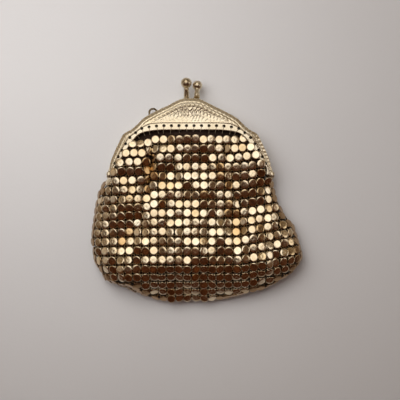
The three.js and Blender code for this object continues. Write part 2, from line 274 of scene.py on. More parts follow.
def dim_room():
    """A world that is pale low behind the clasp, dark and warm at the other end, and uneven."""
    world = bpy.data.worlds.new("room")
    world.use_nodes = True
    tree = world.node_tree
    where = add_node(tree, "TexCoord")
    toward = add_node(tree, "VectorMath", operation="DOT_PRODUCT")
    toward.inputs[1].default_value = DARK_WAY
    tree.links.new(where.outputs["Generated"], toward.inputs[0])
    lift = add_node(tree, "MapRange")
    lift.inputs["From Min"].default_value = -1.0
    tree.links.new(toward.outputs["Value"], lift.inputs["Value"])
    shade = colour_ramp(tree, lift.outputs["Result"], ROOM_SHADES)
    things = add_node(tree, "TexNoise", Scale=6.5, Detail=3)
    tree.links.new(where.outputs["Generated"], things.inputs["Vector"])
    patch = colour_ramp(tree, things.outputs["Fac"], ROOM_PATCHES)
    split = add_node(tree, "SeparateXYZ")
    tree.links.new(where.outputs["Generated"], split.inputs["Vector"])
    high = add_node(tree, "MapRange")
    high.inputs["From Min"].default_value = 0.3
    high.inputs["From Max"].default_value = 0.6
    tree.links.new(split.outputs["Z"], high.inputs["Value"])
    furnished = add_node(tree, "Mix", data_type="RGBA", blend_type="MULTIPLY")
    tree.links.new(high.outputs["Result"], furnished.inputs["Factor"])
    tree.links.new(shade, furnished.inputs["A"])
    tree.links.new(patch, furnished.inputs["B"])
    tree.links.new(furnished.outputs["Result"], tree.nodes["Background"].inputs["Color"])
    bpy.context.scene.world = world


dim_room()
soft_light("key", (-40, 168, 350), 400, 0.50, (1.0, 0.975, 0.93))
soft_light("left", (-400, 40, 230), 260, 0.05, (1.0, 0.97, 0.92))
soft_light("right", (400, 60, 200), 220, 0.13)
fill = soft_light("fill", (-90, 75, 170), 200, 0.26)
fill.visible_glossy = False  # it lights the table and the cloth, and no metal mirrors it
bpy.context.scene.view_settings.view_transform = "Standard"
print(len(bpy.data.lights), "lights")


# %% [markdown]
# ## The frame
#
# A purse frame is two mirror halves, each stamped from one strip of brass: a plain band with the
# sewing holes, a raised line, a field of pressed leaves, then a bevel that turns down into a rim.
# It could be cut from a block, but a strip is a section swept along a line. So two outlines are
# drawn through a few points each, the outer edge and the edge of the opening, and the section
# spans from one to the other.

# %% The stamped outline, from the crown to the right hinge
SHEET = 0.7
HALF_DEPTH = 4.6
OUTER_EDGE = [(0, 30.9), (3.6, 30.6), (9.0, 28.0), (14.4, 25.4), (18.8, 22.8), (21.6, 20.0),
              (23.7, 18.2), (26.8, 16.4), (28.9, 12.7), (30.9, 8.2), (32.1, 4.9)]
INNER_EDGE = [(0, 17.8), (3.4, 17.8), (8.4, 17.8), (13.0, 17.7), (17.0, 17.2), (19.6, 16.5),
              (21.4, 15.3), (22.9, 13.6), (24.5, 11.4), (26.8, 7.9), (28.8, 4.7)]
EAR_LEVEL = 2.7  # the edges run straight below this
EAR_RADIUS = 2.4
HINGE_INNER = 30.4
BACK_HINGE = 33.4
FRONT_HINGE = BACK_HINGE - SHEET - 0.3


def edge_line(right_half, hinge_x, per_span):
    right = [*right_half, (hinge_x, EAR_LEVEL), (hinge_x, 0)]
    left = [(-x, y) for x, y in reversed(right[1:])]
    return smooth_curve([*left, *right], per_span)


print(f"frame is {2 * BACK_HINGE:.1f} mm over its ears, and {SHEET} mm sheet")

# %% [markdown]
# The pattern is pressed into the brass by a die. A bump in the finish would be cheaper, but it stays
# flat against the light at the rim. Here each part of the pattern is a formula for how far the sheet
# stands proud, and the surface itself is moved by it: feathers and scales on the crown, a scroll
# with leaves along the arms, and short flutes on the rim.

# %% Leaves and lines pressed into the sheet
def ridge(distance, width):
    """A rounded line, 1 along its middle."""
    return np.exp(-((distance / width) ** 2))


FEATHER_ROW = 2.3  # from one row of strokes to the next
FEATHERS = 13.5  # strokes for each radian of the fan
FAN_MIDDLE = 5.0  # the fan opens from this far above the hinge line
SCALE_ROW = 1.05
SCALE_LENGTH = 1.7
SCROLL_LENGTH = 5.2
LEAF_LENGTH = 1.5
FLUTE_LENGTH = 1.45


def crown_feathers(x, y, along, from_rim):
    """Short strokes that fan out from below the middle, and rows of scales along the upper edge."""
    x = x + 0.30 * np.sin(1.3 * y + 0.4 * x)
    y = y + 0.25 * np.sin(0.9 * x + 1.1)
    reach = np.hypot(x, y - FAN_MIDDLE)
    turn = np.arctan2(x, y - FAN_MIDDLE)
    row = np.floor(reach / FEATHER_ROW)
    down = reach / FEATHER_ROW - row
    lean = np.where(row % 2 == 0, 0.55, -0.55) * np.where(x > 0, 1, -1)
    strokes = np.cos(2 * np.pi * (turn * FEATHERS + lean * down))
    strokes = strokes * (1 - 0.7 * ridge(down - 0.5, 0.09)) - 0.6 * ridge(down, 0.08)
    tier = np.floor(from_rim / SCALE_ROW)
    scale = np.cos(2 * np.pi * (along / SCALE_LENGTH + 0.5 * (tier % 2))) * 0.6
    scale = scale + 0.7 * np.cos(2 * np.pi * from_rim / SCALE_ROW)
    upper = np.clip((3.0 - from_rim) / 0.5, 0, 1)
    return 0.8 * strokes * (1 - upper) + 0.8 * scale * upper


def arm_garland(along, share):
    """A running scroll of leaves along the arm, between -1 and 1 across it."""
    scroll = 0.42 * np.sin(2 * np.pi * along / SCROLL_LENGTH)
    stem = ridge(share - scroll, 0.17)
    leaves = np.cos(2 * np.pi * (along / LEAF_LENGTH + 0.55 * np.abs(share - scroll))) * (1 - stem)
    return 0.8 * stem + 0.35 * leaves


def stamping(x, y, along, reach, width):
    """How far the sheet stands proud of its flat, for a point at that reach from the inner edge."""
    plain = np.minimum(3.1, 0.46 * width)
    rim = width - np.minimum(1.4, 0.36 * width)
    arm = np.clip((np.abs(x) - 19.5) / 4, 0, 1)
    field = np.clip((reach - plain - 0.3) / 0.25, 0, 1) * np.clip((rim - reach) / 0.3, 0, 1)
    middle, half = (plain + rim) / 2, np.maximum((rim - plain) / 2, 0.3)
    pattern = ((1 - arm) * crown_feathers(x, y, along, rim - reach)
               + arm * arm_garland(along, (reach - middle) / half))
    line = 0.12 * ridge(reach - plain, 0.2)
    flutes = 0.10 * np.cos(2 * np.pi * along / FLUTE_LENGTH) * np.clip((reach - rim) / 0.3, 0, 1)
    edge = 0.12 * ridge(reach - rim, 0.2)
    depth = 0.05 + 0.12 * np.clip((reach - plain - 1.5) / 3.5, 0, 1)
    return depth * field * pattern + line + flutes + edge


across = np.linspace(-10, 10, 200)
sample = stamping(across, np.full(200, 24.0), across + 10, np.full(200, 7.5), 12.8)
print(f"leaves stand up to {sample.max():.2f} mm proud, and dip {-sample.min():.2f} mm")

# %% [markdown]
# The section is drawn once, as reach from the opening and depth under the face, with many points on
# the flat, where the pattern needs them, and few elsewhere. Swept along both outlines it gives rings
# of equal length, and one helper joins such rings into a closed skin. The same helper serves later
# for tubes, pins and turned pieces.

# %% The swept section of one half
def face_section(width):
    """Reach and depth of the outer skin, then of the inner skin back to the start."""
    bevel = min(3.6, 0.5 * width)
    flat = np.linspace(0.3, width - bevel, 64)
    turn = np.linspace(0, 1, 31)[1:]
    fall = [0.55 * bevel * (t - 0.22 * (1 - math.exp(-t / 0.22))) for t in turn]
    slope = [(width - bevel + 0.97 * bevel * t, drop) for t, drop in zip(turn, fall)]
    foot = slope[-1][1]
    outer = [(0, 0.3), (0.08, 0.08), *((reach, 0) for reach in flat), *slope,
             (width, foot + 0.2), (width, 3.2), (width - 0.1, HALF_DEPTH)]
    inner = [(width - SHEET, HALF_DEPTH), (width - SHEET, 2.2), (width - 0.7 * bevel, 1.15),
             (width - 1.15 * bevel, SHEET), (0.3 * width, SHEET), (0, SHEET)]
    return outer, inner


def frame_skin(hinge_x, face, inward, per_span):
    outer_line = edge_line(OUTER_EDGE, hinge_x, per_span)
    inner_line = edge_line(INNER_EDGE, HINGE_INNER, per_span)
    steps = np.linalg.norm(np.diff((outer_line + inner_line) / 2, axis=0), axis=1)
    along = np.concatenate([[0], np.cumsum(steps)])
    rings = []
    for start, end, travelled in zip(inner_line, outer_line, along):
        width = np.linalg.norm(end - start)
        outer, inner = face_section(width)
        reach, depth = np.array(outer).T
        ground = start + reach[:, None] * (end - start) / width
        proud = stamping(ground[:, 0], ground[:, 1], travelled, reach, width)
        proud = proud * np.clip(1 - depth / 3.0, 0, 1)  # none of it on the inside of the rim
        top = np.column_stack([ground, face + inward * (depth - proud)])
        reach, depth = np.array(inner).T
        under = np.column_stack([start + reach[:, None] * (end - start) / width, face + inward * depth])
        rings.append(np.vstack([top, under]))
    return np.array(rings)


def join_rings(rings):
    """Faces between rings of equal length, and a cap on each end."""
    count, size = rings.shape[:2]
    faces = []
    for r in range(count - 1):
        for k in range(size):
            a, b = r * size + k, r * size + (k + 1) % size
            faces.append((a, b, b + size, a + size))
    return faces + [tuple(range(size))[::-1], tuple((count - 1) * size + k for k in range(size))]


def recalculate(piece):
    """Turns every face of a closed piece outwards."""
    bpy.context.view_layer.objects.active = piece
    bpy.ops.object.select_all(action="DESELECT")
    piece.select_set(True)
    bpy.ops.object.mode_set(mode="EDIT")
    bpy.ops.mesh.select_all(action="SELECT")
    bpy.ops.mesh.normals_make_consistent(inside=False)
    bpy.ops.object.mode_set(mode="OBJECT")


print("a section 10 mm wide has", sum(map(len, face_section(10.0))), "points")

# %% [markdown]
# Mesh and lining are sewn in through a row of small holes, a fixed step apart. They could be spread
# evenly by angle, but a die punches them by distance. So the line they stand on is measured out
# from the middle, and the left side is the mirror of the right.

# %% Where the sewing holes go
HOLE_RADIUS = 0.6
HOLE_PITCH = 3.0
HOLES_PER_SIDE = 13
HOLE_INSET = 1.75  # from the opening's edge, less where the band is narrow


def sewing_holes():
    """Each hole's place, its way to the opening and how far that is, from left to right."""
    outer_line = edge_line(OUTER_EDGE, FRONT_HINGE, 100)
    inner_line = edge_line(INNER_EDGE, HINGE_INNER, 100)
    middle = len(inner_line) // 2
    across = outer_line[middle:] - inner_line[middle:]
    width = np.linalg.norm(across, axis=1)
    offset = np.minimum(HOLE_INSET, 0.38 * width)
    spots = inner_line[middle:] + across * (offset / width)[:, None]
    travelled = np.concatenate([[0], np.cumsum(np.linalg.norm(np.diff(spots, axis=0), axis=1))])
    right = []
    for k in range(HOLES_PER_SIDE):
        i = int(np.searchsorted(travelled, HOLE_PITCH * (k + 0.5)))
        right.append((spots[i], -across[i] / width[i], offset[i]))
    flip = np.array([-1, 1])
    return [(spot * flip, out * flip, reach) for spot, out, reach in reversed(right)] + right


HOLES = sewing_holes()
print(len(HOLES), "sewing holes in each half")

# %% [markdown]
# A boolean with a row of round pins cuts the holes, since it leaves clean edges in a surface of any
# shape, where holes drawn into the section would spoil the pattern. The ears with the rivets are
# plain discs. They join the half after the cut, so that the boolean works on one closed piece.

# %% Both halves, with their holes cut and their ears on
def cylinder_along_x(radius, from_x, to_x, sides, bevel):
    """Rings of a plain disc between two places along the hinge."""
    turn = np.linspace(0, 2 * np.pi, sides, endpoint=False)
    rings = [(from_x, radius - bevel), (from_x + bevel, radius),
             (to_x - bevel, radius), (to_x, radius - bevel)]
    return np.array([np.column_stack([np.full(sides, x), r * np.cos(turn), MEETING + r * np.sin(turn)])
                     for x, r in rings])


PIN_SIDES = 20
PIN_REACH = 2  # on each side of the face
EAR_SIDES = 48
EAR_BEVEL = 0.12
SAMPLES_PER_SPAN = 26  # sections between two points of an outline


def punch_holes(piece, face):
    turn = np.linspace(0, 2 * np.pi, PIN_SIDES, endpoint=False)
    corners, faces = [], []
    for (x, y), _, _ in HOLES:
        circle = [x + HOLE_RADIUS * np.cos(turn), y + HOLE_RADIUS * np.sin(turn)]
        pin = np.array([np.column_stack([*circle, np.full(PIN_SIDES, face + z)])
                        for z in (-PIN_REACH, PIN_REACH)])
        faces += [tuple(k + len(corners) for k in f) for f in join_rings(pin)]
        corners += pin.reshape(-1, 3).tolist()
    punch = make_mesh("punch", corners, faces, piece.data.materials[0])
    recalculate(punch)
    cut = piece.modifiers.new("holes", "BOOLEAN")
    cut.object = punch
    cut.operation = "DIFFERENCE"
    cut.solver = "EXACT"
    bpy.context.view_layer.objects.active = piece
    bpy.ops.object.modifier_apply(modifier=cut.name)
    bpy.data.objects.remove(punch)


def frame_half(name, hinge_x, face, inward, material):
    rings = frame_skin(hinge_x, face, inward, SAMPLES_PER_SPAN)
    piece = make_mesh(name, rings.reshape(-1, 3), join_rings(rings), material)
    recalculate(piece)
    punch_holes(piece, face)
    ears = []
    for low, high in ((-hinge_x, SHEET - hinge_x), (hinge_x - SHEET, hinge_x)):
        ring = cylinder_along_x(EAR_RADIUS, low, high, EAR_SIDES, EAR_BEVEL)
        ears.append(make_mesh("ear", ring.reshape(-1, 3), join_rings(ring), material))
        recalculate(ears[-1])
    bpy.ops.object.select_all(action="DESELECT")
    for part in (*ears, piece):
        part.select_set(True)
    bpy.context.view_layer.objects.active = piece
    bpy.ops.object.join()
    piece.data.shade_smooth()
    bpy.ops.object.shade_auto_smooth(angle=math.radians(38))
    print(name, len(piece.data.polygons), "faces")
    return piece


print("pins of", 2 * HOLE_RADIUS, "mm, ears of", 2 * EAR_RADIUS, "mm")

# %% [markdown]
# Old brass is bright where hands rub it and duller in between. One flat colour would look like
# plastic, so a noise tied to the piece mixes two tones and two degrees of polish, and a very fine
# bump breaks up the mirror.

# %% Pale brass, and the two halves
def brass_finish(name, dull, bright):
    material, shader, tree = principled(name, Metallic=1.0)
    tint = colour_ramp(tree, mottled(tree, 120), [(0.3, dull), (0.7, bright)])
    tree.links.new(tint, shader.inputs["Base Color"])
    roughness_between(tree, shader, mottled(tree, 700, 6), 0.20, 0.34)
    bump_from(tree, shader, mottled(tree, 2600), 0.00002, 0.5)
    return material


brass = brass_finish("pale_brass", (0.80, 0.69, 0.49), (0.94, 0.85, 0.67))
front_frame = frame_half("stamped_front", FRONT_HINGE, FRONT_FACE, -1, brass)
back_frame = frame_half("stamped_back", BACK_HINGE, BACK_FACE, 1, brass)


# %% [markdown]
# ## The pouch
#
# Disc mesh is a cloth of metal: pressed discs in straight rows, each held to its neighbours by four
# prongs that close over small rings. It is gathered into the frame and lies on the table like a
# filled bag, high in the belly and thin at its edge, with a few pleats that run down from the
# frame. A cloth simulation would stretch such a mesh, which in truth can't stretch at all. So the
# drape is written as a surface of heights, and the discs are then laid on it a fixed step apart,
# as the rings hold them.

# %% The outline of the pouch, and how high it stands
# Each table gives (distance from the hinge line, value). The sides give x, the others a height.
NECK_SIDE = [(20, 12.0), (18, 16.5), (16.0, 20.3), (13.6, 23.4), (11.4, 25.0), (7.9, 27.3),
             (4.7, 29.2), (1.0, 31.0)]  # both sides are alike inside the frame
LEFT_SIDE = [*((y, -x) for y, x in NECK_SIDE), (-1.5, -33.0), (-2.8, -34.6), (-4.8, -36.3),
             (-6.5, -37.3), (-12.3, -38.6), (-19.6, -39.7), (-27, -40.7), (-30.3, -40.1),
             (-34.8, -39.3), (-38.4, -37.6), (-42.1, -35.6), (-43.9, -32.6), (-45.8, -27.2),
             (-48.1, -22.3), (-50.3, -16.2), (-51.4, -9.2), (-51.9, -6.0)]
RIGHT_SIDE = [*NECK_SIDE, (-1.5, 32.4), (-3.0, 33.0), (-5.7, 33.9), (-9.2, 35.0), (-14.7, 37.8),
              (-21, 42.0), (-29, 44.8), (-32.7, 45.8), (-34.8, 45.4), (-39.7, 41.9), (-43.4, 36.6),
              (-47, 29.2), (-48.3, 24.2), (-49.5, 18.6), (-50.8, 12.9), (-51.5, 6.7), (-51.9, 4.0)]
CROWN = [(20, 8.3), (14.6, 9.2), (10.6, 9.9), (6, 10.25), (1, 10.3), (-4, 10.5), (-10, 10.9),
         (-17, 11.6), (-25, 12.4), (-32, 12.9), (-37, 12.8), (-41, 11.2), (-45, 8.9), (-48.5, 6.6),
         (-52, 4.4)]
FOLD = [(20, 5.0), (0, 4.9), (-6, 4.6), (-20, 4.0), (-35, 3.6), (-45, 3.4), (-52, 3.3)]
BED = [(20, 2.0), (4, 1.9), (-3, 1.3), (-9, 0.62), (-42, 0.62), (-47, 0.9), (-50, 1.5), (-52, 2.3)]


def down_the_pouch(table):
    """A smooth line of values against the distance down from the hinge."""
    line = smooth_curve(table, 12)[::-1]
    return lambda y: np.interp(y, line[:, 0], line[:, 1])


left_at, right_at = down_the_pouch(LEFT_SIDE), down_the_pouch(RIGHT_SIDE)
crown_at, fold_at, bed_at = down_the_pouch(CROWN), down_the_pouch(FOLD), down_the_pouch(BED)


def ease(x, start, end):
    t = np.clip((x - start) / (end - start), 0, 1)
    return t * t * (3 - 2 * t)


def across_share(x, y, inset=0.0):
    left, right = left_at(y) + inset, right_at(y) - inset
    return np.clip(np.abs(2 * x - left - right) / (right - left), 0, 1)


print(f"belly stands {crown_at(-24.0):.1f} mm over the table")
print(f"and reaches from {left_at(-27.0):.1f} to {right_at(-32.0):.1f} mm")

# %% [markdown]
# A filled pouch isn't smooth: it puffs out between its pleats, and small waves cross it. They could
# be sculpted by hand, but discs that lie on a formula can be moved with it at any time. Three kinds
# are added up: broad swells, pleats along a line, and fine waves in chance directions.

# %% Pleats, swells and soft waves
SWELLS = [  # middle x and y, reach across and along, height
    (0, 16.5, 11, 5, 1.8), (-18, 8, 6, 5, 0.4), (26, 4, 6, 5, 0.4), (-31, -4, 9, 12, 2.3),
    (2, 2, 13, 5, -0.9), (19, -18, 10, 9, -2.0), (-3, -29, 12, 11, 1.1), (-27, -43, 10, 9, 2.6),
    (-26, -24, 10, 7, -1.7), (28, -33, 8, 5, 0.5),
]
WAVE_HEIGHT = 0.15
WAVES = [(rng.uniform(8, 15), rng.uniform(0, 2 * np.pi), rng.uniform(0, 2 * np.pi)) for _ in range(7)]


def waves(x, y):
    """Fine waves that cross each other, none of them along the rows."""
    total = 0.0
    for length, heading, phase in WAVES:
        ahead = x * np.cos(heading) + y * np.sin(heading)
        total = total + WAVE_HEIGHT * np.sin(2 * np.pi * ahead / length + phase)
    return total


def swells(x, y):
    """Broad rises where the cloth puffs out."""
    total = 0.0
    for centre_x, centre_y, wide, tall, height in SWELLS:
        off_x, off_y = (x - centre_x) / wide, (y - centre_y) / tall
        total = total + height * np.exp(-(off_x ** 2) - off_y ** 2)
    return total


def right_of(line, x, y):
    """How far a place lies to the right of a line of (y, x) points."""
    ys, xs = np.array(line[::-1]).T
    return x - np.interp(y, ys, xs)


def pleat(x, y, line, width, depth, top, bottom):
    """A crease along a line of (y, x) points, which fades out at both ends."""
    off = right_of(line, x, y) / width
    fade = ease(y, bottom - 3, bottom + 3) * (1 - ease(y, top - 3, top + 3))
    return -depth * np.exp(-off**2) * fade


LEFT_PLEAT = [(16, -15.2), (-2, -16.2), (-14, -18.0)]
RIGHT_PLEAT = [(16, 13.4), (6, 14.3), (-2, 16.2), (-10, 18.8), (-20, 20.4), (-30, 21.6)]


CREASES = [  # line, width, depth, and where it fades out above and below
    (LEFT_PLEAT, 0.9, 1.3, 18, -8),
    (RIGHT_PLEAT, 0.8, 0.7, 14, -24),
    ([(-8, 33.0), (-20, 34.5), (-42, 33.5)], 1.5, 1.6, -12, -37),
    ([(-20, -36), (-30, -31), (-44, -20)], 2.4, 0.7, -24, -40),
    ([(-20, -24), (-34, -22), (-46, -12)], 3.0, 0.4, -24, -42),
]


def creases(x, y):
    return sum(pleat(x, y, *crease) for crease in CREASES)


print(len(SWELLS), "swells,", len(WAVES), "waves and", len(CREASES), "pleats")

# %% [markdown]
# Front and back meet at the fold that runs round the free edge. The front could be a plain dome, but
# inside the frame the sheets hang apart and only below the hinge do they close on each other. So
# each level is a flat part above the hinge line, eased into a dome below it.

# %% Heights of the front and the back sheet
NECK_BLEND = (-6, 3)  # where the flat part eases into the dome


def front_level(x, y, inset=0.0, drop=0.0):
    """Height of the front sheet, for the discs or for a cloth that lies inset and lower."""
    share = across_share(x, y, inset)
    dome = (1 - share**4) ** 0.5
    loose = 1 - ease(y, *NECK_BLEND)
    crown, fold = crown_at(y) - drop, fold_at(y)
    level = crown * (1 - loose) + (fold + (crown - fold) * dome) * loose
    soft = 1 - ease(y, 9, 15)
    over_arm = 0.5 * ease(y, -4, 2) * (1 - ease(y, 11, 14)) * ease(share, 0.8, 0.95)
    relief = soft * (waves(x, y) + creases(x, y)) + swells(x, y)
    return level + over_arm + relief * (1 - share**6)


def back_level(x, y, inset=0.0, lift=0.0):
    dome = (1 - across_share(x, y, inset) ** 4) ** 0.5
    loose = 1 - ease(y, *NECK_BLEND)
    bed, fold = bed_at(y) + lift, fold_at(y)
    return bed * (1 - loose) + (fold - (fold - bed) * dome) * loose


print(f"at the belly the front lies at {front_level(0, -29.0):.1f} mm,", end=" ")
print(f"the back at {back_level(0, -29.0):.2f} mm")

# %% [markdown]
# The discs could be spread on a flat grid and dropped on the surface, but then they would stand too
# far apart on every slope. So a row is walked from its middle column outwards. Each step is one link
# long, measured over the surface, and discs on a slope crowd together when seen from above.

# %% Walking along the rows
COLUMN_STEP = 3.36
ROW_STEP = 3.75
FIRST_ROW = 14.1
MIDDLE_COLUMN = 2.14
POUCH_END = -51.6  # the lowest place a disc may have
HALF_SPAN = 52  # wider than the pouch on either side


def row_line(start, x):
    """Rows climb to the right of the right pleat, and slip half a row at the left one."""
    slip = 1.7 * ease(start, -26, -6) * (1 - ease(x, -18.0, -14.5))
    return start + 0.15 * np.maximum(0, x - 19) - slip - 0.04 * np.maximum(0, -x - 22)


def row_starts(level):
    """Where the middle column crosses each row."""
    y = np.linspace(FIRST_ROW, POUCH_END, 1400)
    z = level(MIDDLE_COLUMN, y)
    travelled = np.concatenate([[0], np.cumsum(np.hypot(np.diff(y), np.diff(z)))])
    rows = int(travelled[-1] / ROW_STEP) + 1
    return [float(np.interp(k * ROW_STEP, travelled, y)) for k in range(rows)]


def walk_row(level, start, way, edge_room):
    """Places of the discs on one side of the middle column, from the middle outwards."""
    x = MIDDLE_COLUMN + way * HALF_SPAN * (1 - (1 - np.linspace(0, 1, 2600)) ** 1.3)
    y = row_line(start, x)
    edge = right_at(y) if way > 0 else -left_at(y)
    inside = way * x <= edge - edge_room * (1 - ease(y, 0, 4)) - 1.1 * ease(y, 0, 4)
    stop = len(x) if inside.all() else int(np.argmin(inside))
    x, y = x[:stop], y[:stop]
    if stop < 2:
        return []
    z = level(x, y)
    steps = np.sqrt(np.diff(x) ** 2 + np.diff(y) ** 2 + np.diff(z) ** 2)
    travelled = np.concatenate([[0], np.cumsum(steps)])
    step = COLUMN_STEP
    if start > 0:  # a row in the neck is eased out or gathered in, to end at the frame
        links = max(1, math.floor(travelled[-1] / COLUMN_STEP + 0.4))
        step = travelled[-1] / links * 0.9999
    marks = np.arange(0 if way > 0 else step, travelled[-1], step)
    return [(np.interp(m, travelled, x), np.interp(m, travelled, y)) for m in marks]


def lay_discs(level, edge_room):
    """{(row, column): place} for one sheet."""
    places = {}
    for row, start in enumerate(row_starts(level)):
        for way in (1, -1):
            for k, (x, y) in enumerate(walk_row(level, start, way, edge_room)):
                column = k if way > 0 else -1 - k
                if y < FIRST_ROW + 2.2:
                    places[row, column] = np.array([x, y, level(x, y)])
    return places


def facing(level, place):
    """The way the sheet faces at a place, as a unit vector."""
    x, y, _ = place
    step = 0.6
    slope_x = (level(x + step, y) - level(x - step, y)) / (2 * step)
    slope_y = (level(x, y + step) - level(x, y - step)) / (2 * step)
    normal = np.array([-slope_x, -slope_y, 1.0])
    return normal / np.linalg.norm(normal)


print(len(row_starts(front_level)), "rows in front,", len(row_starts(back_level)), "behind")

# %% [markdown]
# Rows that stop where the outline slants would leave the lining bare at the fold. On a real purse
# the mesh carries on round it, link by link. Walking one mesh round both sides would be truer, but
# rows that meet at a slant have no common step. So each bare spot near the outline gets a disc of
# its own, and one more row stands upright along the fold. A spot counts as bare when the next
# disc's middle is far enough off. That is less than a disc's width, so the added discs overlap
# their neighbours by up to about a quarter, which real ones can't. It shows less than a hole would.

# %% Closing the fold
CLOSEST = 2.55  # how near an added disc's middle may come to another
SPOT_STEP = 0.5
FOLD_EVERY = 7  # spots from one upright disc to the next
FRONT_INSET, BACK_INSET = 0.35, 2.2  # from the outline to the last middle of a row
FOLD_DROP = 1.1  # the upright discs' middles, below the fold
ADDED = 900  # row and column numbers that no walked disc has, so no ring joins an added one


def spots_inside_outline(inset):
    """Spots round the free edge, from the left ear to the right, and the way inward at each."""
    y = np.linspace(-4, POUCH_END, 400)
    line = np.vstack([np.column_stack([left_at(y), y]), np.column_stack([right_at(y), y])[::-1]])
    travelled = np.concatenate([[0], np.cumsum(np.linalg.norm(np.diff(line, axis=0), axis=1))])
    marks = np.arange(0, travelled[-1], SPOT_STEP)
    spots = np.column_stack([np.interp(marks, travelled, line[:, k]) for k in (0, 1)])
    ahead = np.gradient(spots, axis=0)
    inward = np.column_stack([-ahead[:, 1], ahead[:, 0]])
    inward = inward / np.linalg.norm(ahead, axis=1, keepdims=True)
    return spots + inset * inward, inward


def close_fold(places, level, insets):
    """Adds a disc at each bare spot, ring by ring inwards, and says how many."""
    before = len(places)
    for inset in insets:
        for x, y in spots_inside_outline(inset)[0]:
            spot = np.array([x, y, level(x, y)])
            apart = np.linalg.norm(np.array(list(places.values())) - spot, axis=1)
            if apart.min() > CLOSEST:
                places[ADDED + len(places), ADDED] = spot
    return len(places) - before


def fold_row():
    """Each disc of the upright row: its place, the way it faces, and which way is up for it."""
    spots, inward = spots_inside_outline(FRONT_INSET)
    return [(np.array([x, y, fold_at(y) - FOLD_DROP]), np.array([*-way, 0.0]), (0, 0, 1))
            for (x, y), way in list(zip(spots, inward))[::FOLD_EVERY]]


front_places = lay_discs(front_level, FRONT_INSET)
back_places = lay_discs(back_level, BACK_INSET)
print(len(front_places), "discs in front,", len(back_places), "behind")
added_in_front = close_fold(front_places, front_level, (0.4, 1.2, 2.2, 3.2))
added_behind = close_fold(back_places, back_level, (2.2, 3.2, 4.2))
print(added_in_front, "and", added_behind, "more near the outline,", len(fold_row()), "upright")

# %% [markdown]
# One disc is pressed from sheet: nearly flat in the middle with a small dimple, round at its
# shoulder, hollow underneath, with a prong at each corner that bends down through a ring. Eight
# hundred separate objects would be slow to handle. So the corners of one disc are worked out once,
# and later copied into one mesh for each sheet.

# %% One disc
DISC_RADIUS = 1.74
TALL = 1.03  # a disc is a little longer down the bag than across it
DISC_SKIN = [  # share of the radius, and height, over the top and back underneath
    (0.10, 0.262), (0.24, 0.28), (0.5, 0.272), (0.76, 0.25), (0.91, 0.205), (0.975, 0.13),
    (1.0, 0.02), (0.97, -0.06), (0.7, 0.1),
]
TOP_MIDDLE, UNDER_MIDDLE = 0.27, 0.13
PRONG = [  # reach, height and half width
    (1.30, 0.02, 0.30), (1.66, -0.06, 0.27), (1.90, -0.24, 0.22), (2.02, -0.52, 0.18),
]
PRONG_THICKNESS = 0.16
SIDES_OF_DISC = 14


def disc_template():
    turn = np.linspace(0, 2 * np.pi, SIDES_OF_DISC, endpoint=False)
    circle = np.column_stack([np.cos(turn), np.sin(turn)])
    corners = [(0, 0, TOP_MIDDLE), (0, 0, UNDER_MIDDLE)]
    for share, z in DISC_SKIN:
        corners += [(DISC_RADIUS * share * c, TALL * DISC_RADIUS * share * s, z) for c, s in circle]
    n, rings = SIDES_OF_DISC, len(DISC_SKIN)
    faces = [(0, 2 + k, 2 + (k + 1) % n) for k in range(n)]
    for r in range(rings - 1):
        first = 2 + r * n
        faces += [(first + k, first + n + k, first + n + (k + 1) % n, first + (k + 1) % n)
                  for k in range(n)]
    last = 2 + (rings - 1) * n
    faces += [(1, last + (k + 1) % n, last + k) for k in range(n)]
    for corner in (1, 3, 5, 7):
        out = np.array([math.cos(corner * math.pi / 4), math.sin(corner * math.pi / 4)])
        side = np.array([-out[1], out[0]])
        first = len(corners)
        for reach, z, half in PRONG:
            under = -PRONG_THICKNESS
            for across, drop in ((half, 0), (-half, 0), (-half, under), (half, under)):
                x, y = out * (reach - 0.12 * (drop < 0)) + side * across
                corners.append((x, y, z + drop))
        for r in range(len(PRONG) - 1):
            for k in range(4):
                a, b = first + 4 * r + k, first + 4 * r + (k + 1) % 4
                faces.append((a, b, b + 4, a + 4))
        end = first + 4 * (len(PRONG) - 1)
        faces += [(first + 3, first + 2, first + 1, first), (end, end + 1, end + 2, end + 3)]
    return np.array(corners, float), faces


def turned_to(normal, lean, up=(0, 1, 0)):
    """Axes of a disc that faces along the normal, with a lean in radians about x and y."""
    normal = normal + np.array([lean[1], -lean[0], 0])
    normal = normal / np.linalg.norm(normal)
    side = np.cross(up, normal)
    side /= np.linalg.norm(side)
    return np.column_stack([side, np.cross(normal, side), normal])


print("one disc has", len(disc_template()[1]), "faces")

# %% [markdown]
# Each disc sits loose on its rings, so it leans a little its own way, more where the cloth is
# crushed. Without that, a whole slope would flash at once. The discs could all be one colour, but
# each disc also gets a number, its tone, and one finish reads that number for all of them. Most
# discs get a chance tone. Low tones are painted shade: on the fold, on the back sheet under the
# purse, and beside the pleats and in one hollow.

# %% How each disc leans, and its tone with painted shade
STEEP = 0.72  # a disc whose normal rises less than this is on the fold
SHADED_BESIDE_PLEAT = 0.8  # share of the discs beside a pleat that get painted shade
CRUSHED_LEAN = 0.8  # how much more a disc leans where the cloth is crushed


def bump_at(x, y, centre_x, centre_y, wide, tall):
    return math.exp(-((x - centre_x) / wide) ** 2 - ((y - centre_y) / tall) ** 2)


def lean_of(place, lean):
    """Straight in the taut middle, jumbled where the cloth is crushed low on both sides."""
    x, y, _ = place
    crushed = bump_at(x, y, -28, -35, 10, 9) + bump_at(x, y, 36, -30, 6, 9)
    return rng.normal(0, lean * (1 + CRUSHED_LEAN * crushed), 2)


